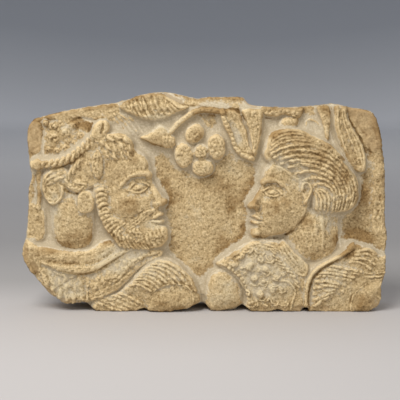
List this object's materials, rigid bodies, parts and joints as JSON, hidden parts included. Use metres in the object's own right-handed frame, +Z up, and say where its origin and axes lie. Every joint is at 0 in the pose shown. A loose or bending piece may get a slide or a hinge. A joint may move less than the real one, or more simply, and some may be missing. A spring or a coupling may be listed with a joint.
{
  "type": "stone relief panel",
  "caption": "Broken upright stone panel carved in relief with facing heads in profile, draped dress, leaves and a flower; flat back and flat foot.",
  "frame": {"origin": "middle of the bounding box at the foot, on the surface that the panel stands on", "axes": "+X along the panel to the viewer's right, +Y from the carved face to the flat back, +Z up"},
  "size_m": [0.2909, 0.0446, 0.1748],
  "materials": {
    "stone": "worn ochre sandstone with pale deposits in the hollows"
  },
  "bodies": {
    "root": {"relief_panel": "stone"}
  },
  "joints": []
}
